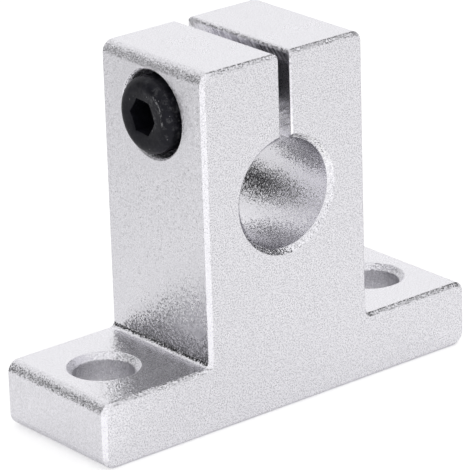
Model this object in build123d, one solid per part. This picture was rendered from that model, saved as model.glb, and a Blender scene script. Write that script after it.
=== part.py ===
from build123d import *
import math
import os

# A shaft support block: an aluminium block with a split bore that clamps a 10 mm shaft, and the socket
# head cap screw that draws the split together. All sizes are in millimetres.
# The origin is the centre of the base's underside. X runs along the base from the screw's head towards
# its tip, Y runs along the shaft, and Z points up.

# The extruded section, an upside-down T
base_width = 42.0
base_thickness = 6.2
tower_width = 18.2
base_bottom_radius = 1.3
base_top_radius = 1.1
tower_top_radius = 1.1
root_radius = 0.6

# The slice cut off the extrusion
block_length = 14.0
end_face_chamfer = 0.35

# The bore that holds the shaft
shaft_diameter = 10.0
shaft_height = 20.0
bore_chamfer = 0.5

# The saw cut from the top into the bore. It runs a little to one side of the middle, so the lip on the
# screw head's side keeps more of its rounding than the lip on the tapped side.
slit_width = 1.25
slit_offset = 0.1
slit_head_lip_radius = 0.65
slit_tapped_lip_radius = 0.4
slit_edge_break = 0.15
slit_cutter_height_above = 1.0

# The two holes that bolt the base down
bolt_spacing = 31.0
bolt_hole_diameter = 5.5
bolt_hole_top_chamfer = 0.55
bolt_hole_bottom_chamfer = 0.3

# The clamp screw, a metric M4 by 12 socket head cap screw
thread_diameter = 4.0
thread_pitch = 0.7
thread_length = 12.0
tip_chamfer = 0.45
head_diameter = 6.9
head_height = 4.0
head_rim_radius = 0.9
head_seat_chamfer = 0.15
socket_width = 3.0
socket_depth = 2.1
socket_mouth_chamfer = 0.12
socket_mouth_angle = 150.0
socket_point_angle = 120.0
socket_turn = 5.0

# The screw's holes, between the bore and the top of the block
bore_top_to_screw_axis = 2.85
screw_axis_to_top = 5.15
counterbore_depth = 4.3
counterbore_edge_chamfer = 0.12
tapped_hole_countersink = 0.4
head_clearance = 0.55
shank_hole_clearance = 0.25
thread_clearance = 0.05

# Turns by which the screw is slackened, which leaves its head standing out of the block's side
slack_turns = 2

# Places and sizes that follow from the ones above
screw_axis_height = shaft_height + shaft_diameter / 2 + bore_top_to_screw_axis
block_height = screw_axis_height + screw_axis_to_top
screw_side_x = -tower_width / 2
tapped_side_x = tower_width / 2
head_seat_x = screw_side_x + counterbore_depth - slack_turns * thread_pitch
counterbore_diameter = head_diameter + 2 * head_clearance
shank_hole_diameter = thread_diameter + 2 * shank_hole_clearance
shank_diameter = thread_diameter - 2 * thread_clearance

# Two points closer than this are one point
same_place = 1e-4


def corners_at(outline, height, *places):
    """The outline's corners at one height and at the places given along the width."""
    return [
        corner
        for corner in outline.vertices()
        if math.isclose(corner.Y, height, abs_tol=same_place)
        and any(math.isclose(corner.X, place, abs_tol=same_place) for place in places)
    ]


def section():
    """The T, drawn with its width along X and its height along Y, and rounded as the die leaves it."""
    base = Pos(0, base_thickness / 2) * Rectangle(base_width, base_thickness)
    tower = Pos(0, block_height / 2) * Rectangle(tower_width, block_height)
    outline = base + tower
    base_ends = (-base_width / 2, base_width / 2)
    tower_sides = (-tower_width / 2, tower_width / 2)
    outline = fillet(corners_at(outline, 0, *base_ends), base_bottom_radius)
    outline = fillet(corners_at(outline, base_thickness, *base_ends), base_top_radius)
    outline = fillet(corners_at(outline, base_thickness, *tower_sides), root_radius)
    return fillet(corners_at(outline, block_height, *tower_sides), tower_top_radius)


def blank():
    """The slice of extrusion with the edges of its two cut faces broken."""
    slice_of_section = extrude(Plane.XZ * section(), block_length / 2, both=True)
    cut_faces = slice_of_section.faces().filter_by(Axis.Y)
    return chamfer(cut_faces.edges(), end_face_chamfer)


def drill(diameter, length, mouth_chamfer=0, far_chamfer=0):
    """A round cutter along +Z from the origin, with a countersink at either end where one is given."""
    radius = diameter / 2
    cutter = Pos(0, 0, length / 2) * Cylinder(radius, length)
    if mouth_chamfer:
        cutter += Pos(0, 0, mouth_chamfer / 2) * Cone(radius + mouth_chamfer, radius, mouth_chamfer)
    if far_chamfer:
        cutter += Pos(0, 0, length - far_chamfer / 2) * Cone(radius, radius + far_chamfer, far_chamfer)
    return cutter


def shaft_bore():
    """The bore, right through along Y, countersunk at both faces."""
    front = Plane(origin=(0, -block_length / 2, shaft_height), z_dir=(0, 1, 0))
    return front * drill(shaft_diameter, block_length, bore_chamfer, bore_chamfer)


def slit_outline(grown):
    """The saw cut's section, from the bore's centre to the block's top and wide above it, so that the two
    inner corners under the wide part round the lips. It can be grown on its cutting sides."""
    width = slit_width + 2 * grown
    top = block_height - grown
    cut = Pos(slit_offset, (shaft_height + top) / 2) * Rectangle(width, top - shaft_height)
    above = Pos(slit_offset, top + slit_cutter_height_above / 2) * Rectangle(
        tower_width / 2, slit_cutter_height_above
    )
    outline = cut + above
    head_side = slit_offset - width / 2
    tapped_side = slit_offset + width / 2
    outline = fillet(corners_at(outline, top, head_side), slit_head_lip_radius - grown)
    return fillet(corners_at(outline, top, tapped_side), slit_tapped_lip_radius - grown)


def slit():
    """The saw cut's cutter, flared at both faces to break the edges that the saw leaves."""
    outer = block_length / 2
    inner = outer - slit_edge_break
    cutter = extrude(Plane.XZ * slit_outline(0), outer, both=True)
    for side in (-1, 1):
        narrow = Plane.XZ.offset(side * inner) * slit_outline(0)
        wide = Plane.XZ.offset(side * outer) * slit_outline(slit_edge_break)
        cutter += loft([narrow, wide], ruled=True)
    return cutter


def bolt_holes():
    """The two holes down through the base."""
    hole = drill(bolt_hole_diameter, base_thickness, bolt_hole_bottom_chamfer, bolt_hole_top_chamfer)
    return [Pos(side * bolt_spacing / 2, 0, 0) * hole for side in (-1, 1)]


def screw_holes():
    """The counterbore and shank hole in one ear, and the tapped hole in the other."""
    axis = Plane(origin=(screw_side_x, 0, screw_axis_height), z_dir=(1, 0, 0))
    counterbore = axis * drill(counterbore_diameter, counterbore_depth, counterbore_edge_chamfer)
    shank_hole = axis * drill(shank_hole_diameter, tower_width / 2)
    tapped = Plane(origin=(tapped_side_x, 0, screw_axis_height), z_dir=(-1, 0, 0))
    tapped_hole = tapped * drill(thread_diameter, tower_width / 2, tapped_hole_countersink)
    return [counterbore, shank_hole, tapped_hole]


def support_block():
    """The whole block, from the slice of extrusion with its holes and its saw cut."""
    block = blank() - shaft_bore() - slit()
    for cutter in bolt_holes() + screw_holes():
        block -= cutter
    return block


def screw_outline():
    """Half the screw's section: along X from its head, with the seat under the head at 0, and radius along Y."""
    head_radius = head_diameter / 2
    shank_radius = shank_diameter / 2
    outline = make_face(
        Polyline(
            (-head_height, 0),
            (-head_height, head_radius),
            (-head_seat_chamfer, head_radius),
            (0, head_radius - head_seat_chamfer),
            (0, shank_radius),
            (thread_length - tip_chamfer, shank_radius),
            (thread_length, shank_radius - tip_chamfer),
            (thread_length, 0),
            close=True,
        )
    )
    rim = outline.vertices().sort_by(Axis.Y)[-2:].sort_by(Axis.X)[0]
    return fillet(rim, head_rim_radius)


def socket():
    """The cutter for the hexagonal socket: a mouth chamfer, six flats and a drill point."""
    corner_radius = socket_width / 2 / math.cos(math.pi / 6)
    outer_face = Plane(origin=(-head_height, 0, 0), x_dir=(0, 1, 0), z_dir=(1, 0, 0))
    flats = extrude(outer_face * RegularPolygon(corner_radius, 6, rotation=socket_turn), socket_depth)
    mouth_radius = corner_radius + socket_mouth_chamfer
    mouth_depth = (mouth_radius - socket_width / 2) / math.tan(math.radians(socket_mouth_angle / 2))
    mouth = outer_face * Pos(0, 0, mouth_depth / 2) * Cone(mouth_radius, socket_width / 2, mouth_depth)
    point_depth = socket_width / 2 / math.tan(math.radians(socket_point_angle / 2))
    point = outer_face * Pos(0, 0, socket_depth + point_depth / 2) * Cone(socket_width / 2, 0, point_depth)
    return flats + mouth + point


def clamp_screw():
    """The cap screw, slack in its holes."""
    body = revolve(screw_outline(), Axis.X) - socket()
    return Pos(head_seat_x, 0, screw_axis_height) * body


os.makedirs("parts", exist_ok=True)
export_step(support_block(), "parts/support_block.step")
export_step(clamp_screw(), "parts/clamp_screw.step")
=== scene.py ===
import math

import bmesh
import bpy
from mathutils import Matrix, Vector


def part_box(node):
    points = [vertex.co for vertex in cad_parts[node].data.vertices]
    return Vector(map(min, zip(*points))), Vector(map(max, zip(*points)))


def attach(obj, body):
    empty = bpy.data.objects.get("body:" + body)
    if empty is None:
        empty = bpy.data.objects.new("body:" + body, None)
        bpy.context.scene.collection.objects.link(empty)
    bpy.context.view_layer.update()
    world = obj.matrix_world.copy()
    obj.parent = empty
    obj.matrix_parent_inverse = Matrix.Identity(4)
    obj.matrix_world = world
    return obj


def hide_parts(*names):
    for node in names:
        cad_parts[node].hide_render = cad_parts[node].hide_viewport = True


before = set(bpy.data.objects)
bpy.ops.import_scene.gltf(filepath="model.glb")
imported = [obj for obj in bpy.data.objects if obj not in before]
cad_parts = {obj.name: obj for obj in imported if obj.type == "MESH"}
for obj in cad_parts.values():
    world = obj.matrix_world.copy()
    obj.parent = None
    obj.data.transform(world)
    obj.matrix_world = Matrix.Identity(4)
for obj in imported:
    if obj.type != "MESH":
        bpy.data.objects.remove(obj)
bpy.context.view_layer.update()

mm = 0.001

# Camera: the angle, distance and focal length that the photograph was taken with
camera_azimuth = math.radians(39.07)
camera_elevation = math.radians(20.81)
camera_roll = math.radians(-1.79)
camera_distance = 318.2 * mm
camera_aim_height = 15.0 * mm
camera_aim_sideways = -0.23 * mm
camera_aim_upward = -0.63 * mm
camera_sees_from = 10 * mm
camera_sees_to = 20000 * mm
focal_length_in_pixels = 3579.0
picture_width_in_pixels = 470.0
sensor_width = 36.0

# Clamp screw: an M4 socket head cap screw along X, its head towards -X
screw_low, screw_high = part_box("clamp_screw")
screw_axis_height = (screw_low.z + screw_high.z) / 2
head_radius = 3.45 * mm
head_rim_radius = 0.9 * mm
head_rim_steps = 12
head_face_border = 0.02 * mm
head_height = 4.0 * mm
head_seat_chamfer = 0.15 * mm
socket_across_flats = 3.0 * mm
socket_corner_radius = socket_across_flats / 2 / math.cos(math.pi / 6)
socket_depth = 2.1 * mm
socket_mouth_chamfer = 0.12 * mm
socket_point_angle = math.radians(120)
socket_mouth_angle = math.radians(150)
socket_turn = math.radians(5)
socket_drill_share = 0.98
socket_cutter_overshoot = 0.3 * mm
thread_pitch = 0.7 * mm
thread_crest_radius = 1.93 * mm
thread_root_radius = 1.55 * mm
thread_crest_width = 0.09 * mm
thread_root_width = 0.12 * mm
thread_run_out = 0.6 * mm
neck_radius = 1.72 * mm
neck_length = 0.7 * mm
rod_overlap = 0.2 * mm
tip_chamfer = 0.45 * mm
points_around = 96
cut_tolerance = 1e-8
cut_rim_tolerance = 1e-7
sharp_angle = math.radians(30)

# Places along one pitch of the screw's thread, with 0 in the middle of the crest and 0.5 in the root's
crest_end = thread_crest_width / thread_pitch / 2
root_start = 0.5 - thread_root_width / thread_pitch / 2
thread_phases = (-root_start, -0.25, -crest_end, crest_end, 0.25, root_start)

# Block: the sizes that its finish and the thread in its far ear go by
block_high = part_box("support_block")[1]
block_half_length = block_high.y
tower_height = block_high.z
tower_half_width = 9.1 * mm
base_height = 6.2 * mm
root_radius = 0.6 * mm
end_face_chamfer = 0.35 * mm
bore_axis_height = 20.0 * mm
bore_radius = 5.0 * mm
bore_chamfer = 0.5 * mm
slit_centre = 0.1 * mm
slit_half_width = 0.625 * mm
counterbore_radius = 4.0 * mm
bolt_hole_offset = 15.5 * mm
bolt_hole_radius = 2.75 * mm
bolt_hole_chamfer = 0.55 * mm
tapped_hole_countersink = 0.4 * mm

# Thread in the far ear: the ridge that stands in from the drilled wall
ridge_foot_radius = 2.03 * mm
ridge_top_radius = 1.64 * mm
ridge_foot_width = 0.56 * mm
ridge_top_width = 0.09 * mm
ridge_run_out_turns = 0.5
ridge_least_rise = 0.08
ridge_steps_per_turn = 72

# Block's finish: where the regions end, mostly a margin past the surface that each belongs to
wide_margin = 0.05 * mm
margin = 0.02 * mm
narrow_margin = 0.01 * mm
slit_side_margin = 0.3 * mm
slit_bottom = bore_axis_height + 4.7 * mm
slit_top = tower_height - 0.12 * mm
counterbore_end_x = -4.7 * mm
drilled_top = base_height - 0.5 * mm
bevel_height = 0.1 * mm
upright_edge_from = tower_half_width - 0.5 * mm

# Block's finish: soft edges, each by where the region begins to show and where it is full
slit_lip_edge = (tower_height - 1.6 * mm, tower_height - 1.0 * mm)
# Where the slit's wall near the bore begins to be painted paler, as painted light from the bore
slit_painted_bore_light_edge = (28.5 * mm, 26.5 * mm)
saw_stroke_edge = (-0.5 * mm, -3.0 * mm)
lower_rim_edge = (bore_axis_height + 2.5 * mm, bore_axis_height)
counterbore_mouth_edge = (-8.3 * mm, -8.8 * mm)
round_screw_radii = (6.2 * mm, 4.6 * mm)
tower_foot_edge = (9.5 * mm, 6.5 * mm)
# Where the bolt holes' walls begin to be painted paler, as painted light from the floor below
bolt_hole_painted_light_edge = (base_height - 0.6 * mm, base_height - 3.6 * mm)
corner_turn = (0.08, 0.3)
upright_turn = (0.2, 0.4)
bevel_turn = (0.15, 0.3)

# Block's finish: the patterns' sizes, strengths and directions
edge_rounding = 0.12 * mm
edge_samples = 6
mouth_lean = (-0.9, 0.0, 0.0)
grain_size = 0.13 * mm
lip_mark_size = 0.13 * mm
lip_mark_tilt = 0.7
lip_mark_angle = math.radians(42)
deep_mark_size = 0.16 * mm
deep_mark_tilt = 0.12
deep_mark_angle = math.radians(-25)
mark_stretch = (1.0, 0.1, 1.0)
saw_stroke_pitch = 0.42 * mm
across_saw_strokes = (0.0, 0.67, -0.74)
saw_stroke_shape = (-0.2, 0.5)
saw_wander_size = 0.9 * mm
saw_wander = 0.25 * mm
# Dashes of painted shade along the upper edges of the cut faces
painted_edge_shade_size = 0.17 * mm
painted_edge_shade_shape = (0.4, 0.52)
speckle_size = 0.115 * mm
cloud_cells_per_metre = 260.0

# Block's finish and its painted light and shade: the usual values, and what each region adds to them
usual_tilt = 0.62
tilt_changes = {
    "bored": -0.05, "corner": 0.7, "tower_foot": -0.06, "round_screw": -0.34, "lower_rim": 0.32,
    "drilled": 0.3, "counterbored": 1.5, "sawn": -0.5,
}
usual_roughness = (0.25, 0.31)
roughness_changes = {
    "bored": -0.08, "root": -0.12, "corner": 0.07, "tower_foot": -0.03, "round_screw": 0.05,
    "lower_rim": -0.12, "slit_depth": -0.04, "counterbored": 0.24, "drilled": 0.18, "upright_edge_painted_highlight": -0.1,
}
usual_contrast = 0.4
contrast_changes = {"cut_off": 0.6, "bored": -0.3, "lower_rim": 0.5}
usual_paleness = 0.868
# Painted light in the paleness: the slit's wall near the bore, the bolt holes' lower walls and the bore
# chamfers'
# upper part are painted paler, and the upright edges get a painted highlight. The dashes along the upper
# edges are painted shade
paleness_changes = {
    "cut_off": 0.015, "upright_edge_painted_highlight": 0.04, "slit_lip": 0.02, "slit_painted_bore_light": 0.17, "saw_stroke": -0.34,
    "drilled": -0.13, "bolt_hole_painted_light": 0.3, "upper_rim_painted_light": 0.17, "painted_edge_shade": -0.42,
}
aluminium_colour = (0.965, 0.955, 1.0)

# Screw's finish: patterns by their cells in a metre, and soft edges as above
pit_cells_per_metre = 2600.0
pit_depth = 0.006 * mm
oxide_cells_per_metre = 900.0
highlight_flake_cells_per_metre = 3100.0
scuff_cells_per_metre = 1500.0
speck_cells_per_metre = 3300.0
oxide_grain_size = 0.3 * mm
oxide_tilt = 0.35
oxide_roughness = (0.34, 0.6)
oxide_shade_edge = (0.4, 0.7)
dark_oxide = (0.003, 0.003, 0.005, 1)
pale_oxide = (0.008, 0.008, 0.012, 1)
# The front-upper side of the head, and the arc on its rim where a highlight is painted as bare-steel flakes
highlight_side_forward = 0.91
highlight_side_upward = 0.42
highlight_rim_radius = head_radius - 0.8 * head_rim_radius
highlight_rim_width = (0.16 * mm, 0.02 * mm)
highlight_rim_turn = (0.84, 0.93)
highlight_flake_shape = (0.44, 0.56)
scuff_shape = (0.5, 0.66)
scuff_and_sheen_turn = (0.2, 0.9)
speck_shape = (0.71, 0.75)
highlight_flake_strength = 0.75
speck_strength = 0.6
scuff_and_sheen_strength = 0.16
# Bare steel: the colour of the specks and scuffs, and of the painted highlight and sheen
bare_steel_and_painted_light = (0.30, 0.30, 0.31, 1)
oxide_specular_level = 0.23
oxide_specular_tint = (0.88, 0.88, 1.0, 1)

# Studio: each panel by its sides, its heights and the softness of its edge, in degrees. A bright one has
# what it adds as well: low behind on the right, in front on the left, and behind on the right
dark_left = ((-76, -28), (-4, 48), 11)
dark_right = ((85, 125), (8, 44), 5)
bright_panels = (
    (((34, 64), (-30, 4), 5), 0.22),
    (((-165, -115), (5, 50), 8), 0.18),
    (((8, 74), (0, 46), 6), 0.15),
)
room_brightness = 0.84
least_brightness = 0.02

# Lamp: a square softbox above the part
lamp_place = (20 * mm, -50 * mm, 420 * mm)
lamp_size = 450 * mm
lamp_power = 0.12

# Floor: its paper, and how it shows to the camera and in the metal. Its directions are in degrees
floor_radius = 160 * mm
floor_segments = 96
gap_under_part = 0.01 * mm
paper_cells_per_metre = 900.0
paper_whiteness = (0.78, 0.82)
glow_to_camera = 0.46
glow_in_metal = 0.21
extra_glow_of_patches = 0.22
# Painted shade in the floor's colour, seen only in the metal: far from the part, and most behind it on the
# left
far_floor_edge = (20 * mm, 160 * mm)
far_floor_painted_shade = 0.08
extra_painted_shade_behind = 0.24
behind_from = (-95, -60)
behind_to = (5, -25)

# Floor: two patches of painted light, brighter only in the metal. Each lies past a soft edge in x and past a
# second one in y + slope * x
left_patch = {"edge_in_x": (-22 * mm, -24 * mm), "slope": 0.105, "slanting_edge": (-5.5 * mm, -8.5 * mm)}
front_patch = {"edge_in_x": (-4 * mm, -8 * mm), "slope": 0.867, "slanting_edge": (-24 * mm, -30 * mm)}


def shade(mesh):
    """Smooth shading with sharp edges where two faces meet at more than the sharp angle."""
    for polygon in mesh.polygons:
        polygon.use_smooth = True
    mesh.set_sharp_from_angle(angle=sharp_angle)


def new_piece(name, bm, material):
    """Turns a bmesh into a shaded piece with one material."""
    mesh = bpy.data.meshes.new(name)
    bm.normal_update()
    bm.to_mesh(mesh)
    bm.free()
    mesh.materials.append(material)
    shade(mesh)
    piece = bpy.data.objects.new(name, mesh)
    bpy.context.scene.collection.objects.link(piece)
    return piece


def node(tree, kind, inputs=None, **settings):
    """Adds a shader node, with its settings and with its inputs as values or links."""
    made = tree.nodes.new(kind)
    for name, value in settings.items():
        setattr(made, name, value)
    for name, value in (inputs or {}).items():
        socket = made.inputs[name]
        if isinstance(value, bpy.types.NodeSocket):
            tree.links.new(value, socket)
        else:
            socket.default_value = value
    return made


def math_node(tree, operation, *values):
    """The result of one Math node, by its operation."""
    return node(tree, "ShaderNodeMath", dict(enumerate(values)), operation=operation).outputs[0]


def vector_node(tree, operation, inputs, result=0):
    """The result of one Vector Math node, by its operation."""
    return node(tree, "ShaderNodeVectorMath", inputs, operation=operation).outputs[result]


def coordinates(tree, vector):
    """The X, Y and Z of a vector."""
    parts = node(tree, "ShaderNodeSeparateXYZ", {"Vector": vector})
    return [parts.outputs[axis] for axis in "XYZ"]


def product(tree, first, *others):
    """The product of two or more values."""
    for other in others:
        first = math_node(tree, "MULTIPLY", first, other)
    return first


def absolute(tree, value):
    """The value without its sign."""
    return math_node(tree, "ABSOLUTE", value)


def outside(tree, region):
    """1 where the region is 0, and 0 where it is 1."""
    return math_node(tree, "SUBTRACT", 1.0, region)


def above(tree, value, limit):
    """1 where the value is more than the limit."""
    return math_node(tree, "GREATER_THAN", value, limit)


def below(tree, value, limit):
    """1 where the value is less than the limit."""
    return math_node(tree, "LESS_THAN", value, limit)


def within(tree, value, low, high):
    """1 where the value lies between low and high."""
    return product(tree, above(tree, value, low), below(tree, value, high))


def step_between(tree, value, start, end):
    """0 on the start's side, 1 on the end's side and smooth between."""
    inputs = {"Value": value, "From Min": start, "From Max": end}
    return node(tree, "ShaderNodeMapRange", inputs, interpolation_type="SMOOTHSTEP").outputs["Result"]


def spread(tree, value, lowest, highest):
    """A value from 0 to 1 spread between two numbers."""
    inputs = {"Value": value, "To Min": lowest, "To Max": highest}
    return node(tree, "ShaderNodeMapRange", inputs).outputs["Result"]


def changed(tree, usual, changes, regions):
    """The usual value with each region's own change added where that region lies."""
    for name, change in changes.items():
        usual = math_node(tree, "MULTIPLY_ADD", regions[name], change, usual)
    return usual


def noise(tree, vector, scale, detail=2.0, roughness=0.5):
    """A noise pattern; its scale is cells in a metre."""
    inputs = {"Vector": vector, "Scale": scale, "Detail": detail, "Roughness": roughness}
    return node(tree, "ShaderNodeTexNoise", inputs).outputs["Fac"]


def squared_distance(tree, first, second, centre=(0.0, 0.0)):
    """The squared distance from a line that runs along the third axis through the centre."""
    first = math_node(tree, "POWER", math_node(tree, "SUBTRACT", first, centre[0]), 2.0)
    second = math_node(tree, "POWER", math_node(tree, "SUBTRACT", second, centre[1]), 2.0)
    return math_node(tree, "ADD", first, second)


def turned(tree, first, second):
    """How far a surface is turned from both of two axes, by its normal's parts along them."""
    return absolute(tree, math_node(tree, "MULTIPLY", first, second))


def uneven_normal(tree, normal, place, size, tilt, detail=0.0):
    """A normal tilted at random from grain to grain of about the given size."""
    inputs = {"Vector": place, "Scale": 1 / size, "Detail": detail}
    grain = node(tree, "ShaderNodeTexNoise", inputs).outputs["Color"]
    centred = vector_node(tree, "SUBTRACT", {0: grain, 1: (0.5, 0.5, 0.5)})
    tilted = vector_node(tree, "SCALE", {0: centred, "Scale": tilt})
    return vector_node(tree, "NORMALIZE", {0: vector_node(tree, "ADD", {0: normal, 1: tilted})})


def stretched_place(tree, place, angle):
    """The place stretched along a direction in the YZ plane, so that a noise on it draws marks that way."""
    rotation = (-angle, 0, 0)
    rotated = node(tree, "ShaderNodeMapping", {"Vector": place, "Rotation": rotation}, vector_type="POINT")
    return vector_node(tree, "MULTIPLY", {0: rotated.outputs[0], 1: mark_stretch})


def empty_tree(owner):
    """The owner's node tree with no nodes in it."""
    owner.use_nodes = True
    owner.node_tree.nodes.clear()
    return owner.node_tree


def empty_material(name):
    """A material with its surface and its output only."""
    material = bpy.data.materials.new(name)
    tree = empty_tree(material)
    surface = tree.nodes.new("ShaderNodeBsdfPrincipled")
    output = tree.nodes.new("ShaderNodeOutputMaterial")
    tree.links.new(surface.outputs["BSDF"], output.inputs["Surface"])
    return material, tree, surface


def saw_strokes(tree, place):
    """Evenly spaced slanting strokes that wander a little, on the front part of the block."""
    across = vector_node(tree, "DOT_PRODUCT", {0: place, 1: across_saw_strokes}, "Value")
    wander = noise(tree, place, 1 / saw_wander_size, detail=1.0)
    across = math_node(tree, "MULTIPLY_ADD", wander, saw_wander, across)
    wave = math_node(tree, "SINE", math_node(tree, "MULTIPLY", across, 2 * math.pi / saw_stroke_pitch))
    y = coordinates(tree, place)[1]
    return product(tree, step_between(tree, wave, *saw_stroke_shape), step_between(tree, y, *saw_stroke_edge))


def slit_regions(tree, place, cut_off):
    """The saw cut's walls, their top lip, the part under it with painted light near the bore, and the saw's
    strokes.
    """
    x, _, z = coordinates(tree, place)
    across = absolute(tree, math_node(tree, "SUBTRACT", x, slit_centre))
    sawn = product(tree, below(tree, across, slit_half_width + slit_side_margin),
                   within(tree, z, slit_bottom, slit_top), outside(tree, cut_off))
    lip = product(tree, sawn, step_between(tree, z, *slit_lip_edge))
    under_lip = math_node(tree, "SUBTRACT", sawn, lip)
    return {
        "sawn": sawn,
        "slit_lip": lip,
        "slit_depth": under_lip,
        # The slit's wall near the bore, painted paler as painted light from the bore
        "slit_painted_bore_light": product(tree, under_lip, step_between(tree, z, *slit_painted_bore_light_edge)),
        "saw_stroke": product(tree, lip, saw_strokes(tree, place)),
    }


def bore_regions(tree, place, cut_off, sawn):
    """The bore's wall, and its countersinks' lower and upper part; the upper part is painted paler as painted
    light.
    """
    x, _, z = coordinates(tree, place)
    from_bore = squared_distance(tree, x, z, (0.0, bore_axis_height))
    bored = below(tree, from_bore, (bore_radius + wide_margin) ** 2)
    inside_rim = below(tree, from_bore, (bore_radius + bore_chamfer + margin) ** 2)
    rim = math_node(tree, "SUBTRACT", inside_rim, bored)
    rim = product(tree, rim, outside(tree, cut_off), outside(tree, sawn))
    lower_rim = product(tree, rim, step_between(tree, z, *lower_rim_edge))
    return {
        "bored": bored,
        "lower_rim": lower_rim,
        # The countersinks' upper part, painted paler as painted light
        "upper_rim_painted_light": math_node(tree, "SUBTRACT", rim, lower_rim),
    }


def screw_hole_regions(tree, place):
    """The counterbore, its mouth, and the block's side round it."""
    x, y, z = coordinates(tree, place)
    from_screw = squared_distance(tree, y, z, (0.0, screw_axis_height))
    counterbored = product(tree, below(tree, from_screw, (counterbore_radius + wide_margin) ** 2),
                           below(tree, x, counterbore_end_x))
    farthest, nearest = (radius ** 2 for radius in round_screw_radii)
    return {
        "counterbored": counterbored,
        "counterbore_mouth": product(tree, counterbored, step_between(tree, x, *counterbore_mouth_edge)),
        "round_screw": product(tree, step_between(tree, from_screw, farthest, nearest),
                               below(tree, x, -tower_half_width + wide_margin)),
    }


def base_regions(tree, place):
    """The bolt holes' walls with painted light deep down, the roots between base and tower, and the tower's
    foot with the base.
    """
    x, y, z = coordinates(tree, place)
    sideways, depth = absolute(tree, x), absolute(tree, y)
    from_bolt = squared_distance(tree, sideways, y, (bolt_hole_offset, 0.0))
    drilled = product(tree, below(tree, from_bolt, (bolt_hole_radius + wide_margin) ** 2),
                      below(tree, z, drilled_top))
    beside_tower = within(tree, sideways, tower_half_width, tower_half_width + root_radius + wide_margin)
    over_base = within(tree, z, base_height - narrow_margin, base_height + root_radius + margin)
    root = product(tree, beside_tower, over_base)
    off_edges = product(tree, below(tree, depth, block_half_length - end_face_chamfer - narrow_margin),
                        above(tree, from_bolt, (bolt_hole_radius + bolt_hole_chamfer) ** 2))
    return {
        "drilled": drilled,
        # Deep in the bolt holes the wall is painted paler: painted light from the floor below
        "bolt_hole_painted_light": product(tree, drilled, step_between(tree, z, *bolt_hole_painted_light_edge)),
        "root": root,
        "tower_foot": product(tree, step_between(tree, z, *tower_foot_edge), off_edges),
    }


def edge_regions(tree, place, bored, root):
    """The rounded corners of the section, the upright edges of the cut faces with a painted highlight, and a
    ragged line of painted shade along the upper ones.
    """
    x, y, z = coordinates(tree, place)
    sideways, depth = absolute(tree, x), absolute(tree, y)
    normal_x, normal_y, normal_z = coordinates(tree, node(tree, "ShaderNodeNewGeometry").outputs["Normal"])
    corner = step_between(tree, turned(tree, normal_x, normal_z), *corner_turn)
    hollow = math_node(tree, "MAXIMUM", bored, root)
    # The upright edges of the cut faces, made paler as a painted highlight
    upright_edge_painted_highlight = step_between(tree, turned(tree, normal_x, normal_y), *upright_turn)
    under_base_top = within(tree, z, base_height - bevel_height, base_height + narrow_margin)
    under_tower_top = within(tree, z, tower_height - bevel_height, tower_height + narrow_margin)
    under_top = product(tree, math_node(tree, "MAXIMUM", under_base_top, under_tower_top),
                        above(tree, depth, block_half_length - end_face_chamfer - wide_margin))
    bevel = step_between(tree, turned(tree, normal_y, normal_z), *bevel_turn)
    # Dashes of painted shade: a darker colour along the upper edges of the cut faces
    painted_edge_shade_dashes = step_between(tree, noise(tree, place, 1 / painted_edge_shade_size, detail=1.0), *painted_edge_shade_shape)
    return {
        "corner": product(tree, corner, outside(tree, hollow)),
        "upright_edge_painted_highlight": product(tree, upright_edge_painted_highlight, above(tree, sideways, upright_edge_from)),
        "painted_edge_shade": product(tree, painted_edge_shade_dashes, bevel, under_top),
    }


def block_regions(tree, place):
    """Every region of the block where a tool or the handling has left its own finish, or where light or shade
    is painted, by name.
    """
    _, y, _ = coordinates(tree, place)
    regions = {"cut_off": above(tree, absolute(tree, y), block_half_length - margin)}
    regions.update(slit_regions(tree, place, regions["cut_off"]))
    regions.update(bore_regions(tree, place, regions["cut_off"], regions["sawn"]))
    regions.update(screw_hole_regions(tree, place))
    regions.update(base_regions(tree, place))
    regions.update(edge_regions(tree, place, regions["bored"], regions["root"]))
    return regions


def block_normal(tree, place, regions):
    """The block's normal, with its edges a little rounded, its blasted grain and the saw's marks."""
    normal = node(tree, "ShaderNodeBevel", {"Radius": edge_rounding}, samples=edge_samples).outputs["Normal"]
    outward = vector_node(tree, "SCALE", {0: mouth_lean, "Scale": regions["counterbore_mouth"]})
    normal = vector_node(tree, "ADD", {0: normal, 1: outward})
    tilt = changed(tree, usual_tilt, tilt_changes, regions)
    normal = uneven_normal(tree, normal, place, grain_size, tilt)
    lip_place = stretched_place(tree, place, lip_mark_angle)
    lip_tilt = product(tree, regions["slit_lip"], lip_mark_tilt)
    normal = uneven_normal(tree, normal, lip_place, lip_mark_size, lip_tilt)
    deep_place = stretched_place(tree, place, deep_mark_angle)
    deep_tilt = product(tree, regions["slit_depth"], deep_mark_tilt)
    return uneven_normal(tree, normal, deep_place, deep_mark_size, deep_tilt)


def block_paleness(tree, place, regions):
    """How pale the block is, from speckle to speckle and from region to region, with painted light and shade
    in some regions.
    """
    contrast = changed(tree, usual_contrast, contrast_changes, regions)
    speckle = noise(tree, place, 1 / speckle_size, detail=0.0)
    speckle = product(tree, math_node(tree, "SUBTRACT", speckle, 0.5), contrast)
    paleness = math_node(tree, "MINIMUM", math_node(tree, "ADD", speckle, usual_paleness), 1.0)
    return changed(tree, paleness, paleness_changes, regions)


def blasted_aluminium():
    """Blasted, clear anodised aluminium, with what cutting off, boring, sawing and drilling leave on it, and
    painted light and shade.
    """
    material, tree, surface = empty_material("blasted_aluminium")
    place = node(tree, "ShaderNodeTexCoord").outputs["Object"]
    regions = block_regions(tree, place)
    cloud = noise(tree, place, cloud_cells_per_metre)
    roughness = changed(tree, spread(tree, cloud, *usual_roughness), roughness_changes, regions)
    paleness = block_paleness(tree, place, regions)
    colour = vector_node(tree, "SCALE", {0: aluminium_colour, "Scale": paleness})
    tree.links.new(block_normal(tree, place, regions), surface.inputs["Normal"])
    tree.links.new(roughness, surface.inputs["Roughness"])
    tree.links.new(colour, surface.inputs["Base Color"])
    surface.inputs["Metallic"].default_value = 1.0
    return material


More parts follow.
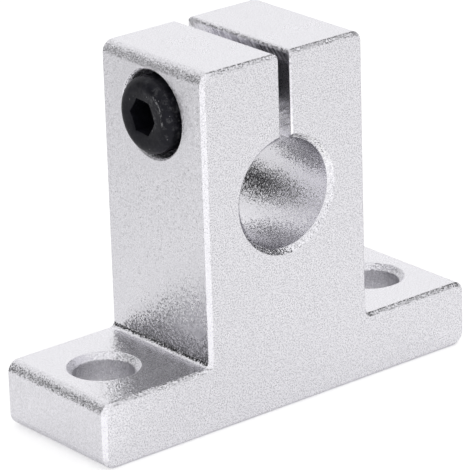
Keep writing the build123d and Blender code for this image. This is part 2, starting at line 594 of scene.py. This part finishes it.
def bare_steel_and_painted_light_share(tree, place):
    """How much bare-steel colour shows: painted highlight flakes on the head's rim, scuffs with painted sheen
    round it, and specks.
    """
    _, y, z = coordinates(tree, place)
    forward = math_node(tree, "MULTIPLY", y, -1.0)
    upward = math_node(tree, "SUBTRACT", z, screw_axis_height)
    from_axis = math_node(tree, "SQRT", squared_distance(tree, forward, upward))
    toward_highlight_side = math_node(tree, "MULTIPLY", forward, highlight_side_forward)
    toward_highlight_side = math_node(tree, "MULTIPLY_ADD", upward, highlight_side_upward, toward_highlight_side)
    toward_highlight_side = math_node(tree, "DIVIDE", toward_highlight_side, from_axis)
    off_rim = absolute(tree, math_node(tree, "SUBTRACT", from_axis, highlight_rim_radius))
    # The arc of painted highlight on the head's rim, on the side toward the front and up
    painted_highlight_rim = product(tree, step_between(tree, off_rim, *highlight_rim_width),
                       step_between(tree, toward_highlight_side, *highlight_rim_turn))
    highlight_flakes = step_between(tree, noise(tree, place, highlight_flake_cells_per_metre), *highlight_flake_shape)
    highlight_flakes = product(tree, painted_highlight_rim, highlight_flakes, highlight_flake_strength)
    # Scuffs that show only on that side: partly real scuffs and partly painted sheen
    scuffs_and_sheen = noise(tree, place, scuff_cells_per_metre, detail=5.0, roughness=0.75)
    scuffs_and_sheen = product(tree, step_between(tree, scuffs_and_sheen, *scuff_shape),
                     step_between(tree, toward_highlight_side, *scuff_and_sheen_turn), scuff_and_sheen_strength)
    specks = step_between(tree, noise(tree, place, speck_cells_per_metre), *speck_shape)
    specks = product(tree, specks, speck_strength)
    return math_node(tree, "MAXIMUM", math_node(tree, "MAXIMUM", highlight_flakes, specks), scuffs_and_sheen)


def black_oxide_steel():
    """Black oxide steel, lightly pitted, with a faint oily sheen, bare specks, and a painted highlight on the
    head's rim.
    """
    material, tree, surface = empty_material("black_oxide_steel")
    place = node(tree, "ShaderNodeTexCoord").outputs["Object"]
    pits = noise(tree, place, pit_cells_per_metre, detail=3.0)
    cloud = noise(tree, place, oxide_cells_per_metre, detail=4.0, roughness=0.7)

    pitted = node(tree, "ShaderNodeBump", {"Strength": 1.0, "Distance": pit_depth, "Height": pits})
    normal = uneven_normal(tree, pitted.outputs["Normal"], place, oxide_grain_size, oxide_tilt, detail=2.0)
    tree.links.new(normal, surface.inputs["Normal"])
    tree.links.new(spread(tree, cloud, *oxide_roughness), surface.inputs["Roughness"])

    shades = {"Factor": step_between(tree, cloud, *oxide_shade_edge), 6: dark_oxide, 7: pale_oxide}
    oxide = node(tree, "ShaderNodeMix", shades, data_type="RGBA").outputs[2]
    metals = {"Factor": bare_steel_and_painted_light_share(tree, place), 6: oxide, 7: bare_steel_and_painted_light}
    colour = node(tree, "ShaderNodeMix", metals, data_type="RGBA").outputs[2]
    tree.links.new(colour, surface.inputs["Base Color"])
    surface.inputs["Specular IOR Level"].default_value = oxide_specular_level
    surface.inputs["Specular Tint"].default_value = oxide_specular_tint
    return material


def thread_radius(phase):
    """The screw's radius at a place along one pitch: the crest's, the root's or between on the flank."""
    down_the_flank = min(max((abs(phase) - crest_end) / (root_start - crest_end), 0.0), 1.0)
    return thread_crest_radius + (thread_root_radius - thread_crest_radius) * down_the_flank


def rod_radius(x, phase, start, end):
    """The radius of the screw's rod at x: a neck that runs into the thread, and a chamfer at the tip."""
    fade = min(max((x - start - neck_length) / thread_run_out, 0.0), 1.0)
    radius = neck_radius + (thread_radius(phase) - neck_radius) * fade
    return min(radius, thread_crest_radius - tip_chamfer + max(end - x, 0.0))


def cut_flat(bm, place, outward):
    """Cuts a rod along X off at a place, on the side that outward points to, and closes the cut."""
    everything = bm.verts[:] + bm.edges[:] + bm.faces[:]
    bmesh.ops.bisect_plane(bm, geom=everything, dist=cut_tolerance, plane_co=(place, 0, 0),
                           plane_no=(outward, 0, 0), clear_outer=True)
    rim = [edge for edge in bm.edges if edge.is_boundary and
           all(abs(vert.co.x - place) < cut_rim_tolerance for vert in edge.verts)]
    bmesh.ops.edgeloop_fill(bm, edges=rim)


def threaded_rod(start, end):
    """The threaded part of the screw about the X axis, cut flat at both ends, as a closed bmesh."""
    first = math.floor(start / thread_pitch) - 2
    last = math.ceil(end / thread_pitch) + 1
    bm = bmesh.new()
    rows = []
    for turn in range(first, last + 1):
        for phase in thread_phases:
            row = []
            for k in range(points_around):
                share = k / points_around
                angle = 2 * math.pi * share
                x = (turn + phase + share) * thread_pitch
                radius = rod_radius(x, phase, start, end)
                row.append(bm.verts.new((x, radius * math.cos(angle), radius * math.sin(angle))))
            rows.append(row)
    for low, high in zip(rows, rows[1:]):
        for k in range(points_around - 1):
            bm.faces.new((low[k], low[k + 1], high[k + 1], high[k]))
    for i in range(len(rows) - 1 - len(thread_phases)):
        ahead = i + len(thread_phases)
        bm.faces.new((rows[i][-1], rows[ahead][0], rows[ahead + 1][0], rows[i + 1][-1]))
    cut_flat(bm, start, -1)
    cut_flat(bm, end, 1)
    bmesh.ops.recalc_face_normals(bm, faces=bm.faces)
    return bm


def join_rows(bm, low, high):
    """Faces between two closed rows with the same number of points, or between a row and one point."""
    count = max(len(low), len(high))
    for k in range(count):
        after = (k + 1) % count
        corners = (low[k % len(low)], low[after % len(low)], high[after % len(high)], high[k % len(high)])
        bm.faces.new(tuple(dict.fromkeys(corners)))


def lathe(outline):
    """A closed bmesh turned about the X axis, from (x, radius) points that start and end on the axis."""
    bm = bmesh.new()
    angles = [2 * math.pi * k / points_around for k in range(points_around)]
    rows = []
    for x, radius in outline:
        if radius == 0:
            rows.append([bm.verts.new((x, 0, 0))])
        else:
            rows.append([bm.verts.new((x, radius * math.cos(a), radius * math.sin(a))) for a in angles])
    for low, high in zip(rows, rows[1:]):
        join_rows(bm, low, high)
    bmesh.ops.recalc_face_normals(bm, faces=bm.faces)
    return bm


def mesh_object(name, bm):
    """A plain object that lives only while a piece is made."""
    mesh = bpy.data.meshes.new(name)
    bm.to_mesh(mesh)
    bm.free()
    made = bpy.data.objects.new(name, mesh)
    bpy.context.scene.collection.objects.link(made)
    return made


def combine(base, tool, operation):
    """Cuts one object from another or joins the two, and deletes the second."""
    step = base.modifiers.new("combine", "BOOLEAN")
    step.operation = operation
    step.solver = "EXACT"
    step.object = tool
    graph = bpy.context.evaluated_depsgraph_get()
    mesh = bpy.data.meshes.new_from_object(base.evaluated_get(graph))
    base.modifiers.clear()
    base.data = mesh
    bpy.data.objects.remove(tool)


def screw_head(seat, top):
    """The head without its socket: a turned cylinder with a round rim and a small chamfer at its seat."""
    outline = [(top, 0.0), (top, head_radius - head_rim_radius - head_face_border)]
    for k in range(head_rim_steps + 1):
        angle = math.pi / 2 * k / head_rim_steps
        outline.append((top + head_rim_radius * (1 - math.cos(angle)),
                        head_radius - head_rim_radius * (1 - math.sin(angle))))
    outline.append((seat - head_seat_chamfer, head_radius))
    outline.append((seat, head_radius - head_seat_chamfer))
    outline.append((seat, 0.0))
    return lathe(outline)


def hexagon_plug(top):
    """The room inside the hexagon socket down to its flat bottom."""
    angles = [socket_turn + k * math.pi / 3 for k in range(6)]
    corners = [(socket_corner_radius * math.cos(a), socket_corner_radius * math.sin(a)) for a in angles]
    bm = bmesh.new()
    outer = [bm.verts.new((top - socket_cutter_overshoot, y, z)) for y, z in corners]
    inner = [bm.verts.new((top + socket_depth, y, z)) for y, z in corners]
    bm.faces.new(outer)
    bm.faces.new(inner)
    join_rows(bm, outer, inner)
    bmesh.ops.recalc_face_normals(bm, faces=bm.faces)
    return bm


def socket_cones(top):
    """The chamfer at the socket's mouth and the drill point at its bottom, joined along the axis."""
    mouth_radius = socket_corner_radius + socket_mouth_chamfer
    mouth_slope = math.tan(socket_mouth_angle / 2)
    drill_radius = socket_across_flats / 2 * socket_drill_share
    point_depth = drill_radius / math.tan(socket_point_angle / 2)
    return lathe([
        (top - socket_cutter_overshoot, 0.0),
        (top - socket_cutter_overshoot, mouth_radius + socket_cutter_overshoot * mouth_slope),
        (top + (mouth_radius - drill_radius) / mouth_slope, drill_radius),
        (top + socket_depth, drill_radius),
        (top + socket_depth + point_depth, 0.0),
    ])


def socket_head_screw(material, top, tip):
    """The clamp screw with its head, socket and thread; it stands for the plain screw of the frame."""
    seat = top + head_height
    head = mesh_object("screw_head_blank", screw_head(seat, top))
    combine(head, mesh_object("socket_hexagon", hexagon_plug(top)), "DIFFERENCE")
    combine(head, mesh_object("socket_cones", socket_cones(top)), "DIFFERENCE")
    combine(head, mesh_object("screw_rod", threaded_rod(seat - rod_overlap, tip)), "UNION")
    bm = bmesh.new()
    bm.from_mesh(head.data)
    bpy.data.objects.remove(head)
    bmesh.ops.translate(bm, verts=bm.verts, vec=(0, 0, screw_axis_height))
    piece = new_piece("socket_head_screw", bm, material)
    piece.modifiers.new("even_shading", "WEIGHTED_NORMAL").keep_sharp = True
    return piece


def ridge_section(turn, turns):
    """The ridge's section after some of its turns, as (x, radius) points; it rises, and sinks again."""
    rise = min(turn / ridge_run_out_turns, (turns - turn) / ridge_run_out_turns, 1.0)
    top_radius = ridge_foot_radius + (ridge_top_radius - ridge_foot_radius) * max(rise, ridge_least_rise)
    return (
        (-ridge_foot_width / 2, ridge_foot_radius),
        (-ridge_top_width / 2, top_radius),
        (ridge_top_width / 2, top_radius),
        (ridge_foot_width / 2, ridge_foot_radius),
    )


def tapped_thread(material):
    """The thread inside the far ear: one ridge along a helix, which stands in from the drilled wall."""
    start = slit_centre + slit_half_width
    end = tower_half_width - tapped_hole_countersink
    first = math.ceil(start / thread_pitch + 0.5)
    turns = math.floor((end - ridge_foot_width / 2) / thread_pitch - 0.5 - first)
    bm = bmesh.new()
    rows = []
    for k in range(turns * ridge_steps_per_turn + 1):
        turn = k / ridge_steps_per_turn
        angle = 2 * math.pi * turn
        middle = (first + 0.5 + turn) * thread_pitch
        rows.append([bm.verts.new((middle + x, r * math.cos(angle), screw_axis_height + r * math.sin(angle)))
                     for x, r in ridge_section(turn, turns)])
    for low, high in zip(rows, rows[1:]):
        join_rows(bm, low, high)
    bm.faces.new(rows[0])
    bm.faces.new(rows[-1])
    bmesh.ops.recalc_face_normals(bm, faces=bm.faces)
    return new_piece("tapped_thread", bm, material)


def camera():
    """The camera at the photograph's place, turned by its small roll."""
    sine, cosine = math.sin(camera_azimuth), math.cos(camera_azimuth)
    level = math.cos(camera_elevation)
    back = Vector((-sine * level, -cosine * level, math.sin(camera_elevation)))
    right = (-back).cross(Vector((0, 0, 1))).normalized()
    up = right.cross(-back)
    aim = Vector((0, 0, camera_aim_height)) + right * camera_aim_sideways + up * camera_aim_upward
    turned_right = right * math.cos(camera_roll) + up * math.sin(camera_roll)
    turned_up = up * math.cos(camera_roll) - right * math.sin(camera_roll)
    data = bpy.data.cameras.new("camera")
    data.sensor_width = sensor_width
    data.lens = focal_length_in_pixels / picture_width_in_pixels * sensor_width
    data.clip_start = camera_sees_from
    data.clip_end = camera_sees_to
    made = bpy.data.objects.new("camera", data)
    axes = Matrix((turned_right, turned_up, back)).transposed()
    made.matrix_world = Matrix.Translation(aim + back * camera_distance) @ axes.to_4x4()
    bpy.context.scene.collection.objects.link(made)
    bpy.context.scene.camera = made


def panel(tree, azimuth, elevation, sides, heights, soft):
    """How much of a studio panel lies in a direction: 1 inside its sides and heights, in degrees."""
    return product(
        tree,
        step_between(tree, azimuth, sides[0] - soft, sides[0] + soft),
        step_between(tree, azimuth, sides[1] + soft, sides[1] - soft),
        step_between(tree, elevation, heights[0] - soft, heights[0] + soft),
        step_between(tree, elevation, heights[1] + soft, heights[1] - soft),
    )


def studio_world():
    """A white room with two dark panels and three bright ones, which the camera itself sees as all white."""
    world = bpy.data.worlds.new("studio")
    bpy.context.scene.world = world
    tree = empty_tree(world)
    x, y, z = coordinates(tree, node(tree, "ShaderNodeTexCoord").outputs["Generated"])
    azimuth = math_node(tree, "DEGREES", math_node(tree, "ARCTAN2", x, y))
    elevation = math_node(tree, "DEGREES", math_node(tree, "ARCSINE", z))
    level = product(tree, outside(tree, panel(tree, azimuth, elevation, *dark_left)),
                    outside(tree, panel(tree, azimuth, elevation, *dark_right)))
    for place, brightness in bright_panels:
        level = math_node(tree, "MULTIPLY_ADD", panel(tree, azimuth, elevation, *place), brightness, level)
    level = math_node(tree, "MULTIPLY_ADD", level, room_brightness, least_brightness)
    to_camera = node(tree, "ShaderNodeLightPath").outputs["Is Camera Ray"]
    seen = math_node(tree, "MAXIMUM", level, to_camera)
    shine = node(tree, "ShaderNodeBackground", {"Color": (1, 1, 1, 1), "Strength": seen})
    output = node(tree, "ShaderNodeOutputWorld")
    tree.links.new(shine.outputs[0], output.inputs["Surface"])


def painted_light_patch(tree, x, y, edge_in_x, slope, slanting_edge):
    """A patch of painted light on the floor, past its edge in x and past its slanting edge."""
    slanting = math_node(tree, "MULTIPLY_ADD", x, slope, y)
    return product(tree, step_between(tree, x, *edge_in_x), step_between(tree, slanting, *slanting_edge))


def painted_floor_shade(tree, place):
    """How much painted shade darkens the floor far from the part: most of all behind it on the left."""
    x, y, _ = coordinates(tree, place)
    azimuth = math_node(tree, "DEGREES", math_node(tree, "ARCTAN2", x, y))
    far = step_between(tree, vector_node(tree, "LENGTH", {0: place}, "Value"), *far_floor_edge)
    behind = product(tree, step_between(tree, azimuth, *behind_from), step_between(tree, azimuth, *behind_to))
    painted_shade_share = math_node(tree, "MULTIPLY_ADD", behind, extra_painted_shade_behind, far_floor_painted_shade)
    return product(tree, far, painted_shade_share)


def white_floor():
    """White paper that keeps a soft shadow, and glows a little to the camera and in the metal, where it has
    painted shade and patches of painted light.
    """
    material = bpy.data.materials.new("white_floor")
    tree = empty_tree(material)
    place = node(tree, "ShaderNodeTexCoord").outputs["Object"]
    x, y, _ = coordinates(tree, place)
    path = node(tree, "ShaderNodeLightPath")
    mirrored = math_node(tree, "MAXIMUM", path.outputs["Is Glossy Ray"], path.outputs["Is Transmission Ray"])

    paper = spread(tree, noise(tree, place, paper_cells_per_metre), *paper_whiteness)
    # Painted shade: the floor's colour is darker for glossy rays only
    painted_shade_share = product(tree, painted_floor_shade(tree, place), mirrored)
    matt = node(tree, "ShaderNodeBsdfDiffuse")
    tree.links.new(product(tree, paper, outside(tree, painted_shade_share)), matt.inputs["Color"])

    # Patches of painted light, which glow only in the metal
    patches = [painted_light_patch(tree, x, y, **left_patch), painted_light_patch(tree, x, y, **front_patch)]
    painted_light = math_node(tree, "MAXIMUM", *patches)
    in_metal = math_node(tree, "MULTIPLY_ADD", painted_light, extra_glow_of_patches, glow_in_metal)
    to_camera = math_node(tree, "MULTIPLY", path.outputs["Is Camera Ray"], glow_to_camera)
    seen = math_node(tree, "MULTIPLY_ADD", mirrored, in_metal, to_camera)
    glow = node(tree, "ShaderNodeEmission", {"Strength": seen})
    both = node(tree, "ShaderNodeAddShader", {0: matt.outputs[0], 1: glow.outputs[0]})
    output = node(tree, "ShaderNodeOutputMaterial")
    tree.links.new(both.outputs[0], output.inputs["Surface"])
    return material


def floor():
    """A round white floor, a hair under the part so that the two don't lie in one plane."""
    bm = bmesh.new()
    bmesh.ops.create_circle(bm, cap_ends=True, segments=floor_segments, radius=floor_radius)
    made = new_piece("floor", bm, white_floor())
    made.location.z = -gap_under_part


def lamp(name, place, size, power):
    """A square soft lamp that points at the middle of the part."""
    data = bpy.data.lights.new(name, "AREA")
    data.size = size
    data.energy = power
    made = bpy.data.objects.new(name, data)
    made.location = place
    aim = Vector((0, 0, camera_aim_height)) - made.location
    made.rotation_euler = aim.to_track_quat("-Z", "Y").to_euler()
    bpy.context.scene.collection.objects.link(made)


bpy.context.scene.view_settings.view_transform = "Standard"

aluminium = blasted_aluminium()
black_steel = black_oxide_steel()

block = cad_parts["support_block"]
block.material_slots[0].material = aluminium

screw = socket_head_screw(black_steel, screw_low.x, screw_high.x)
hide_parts("clamp_screw")
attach(screw, "screw")

thread = tapped_thread(aluminium)
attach(thread, "block")

studio_world()
floor()
lamp("softbox_above", lamp_place, lamp_size, lamp_power)
camera()
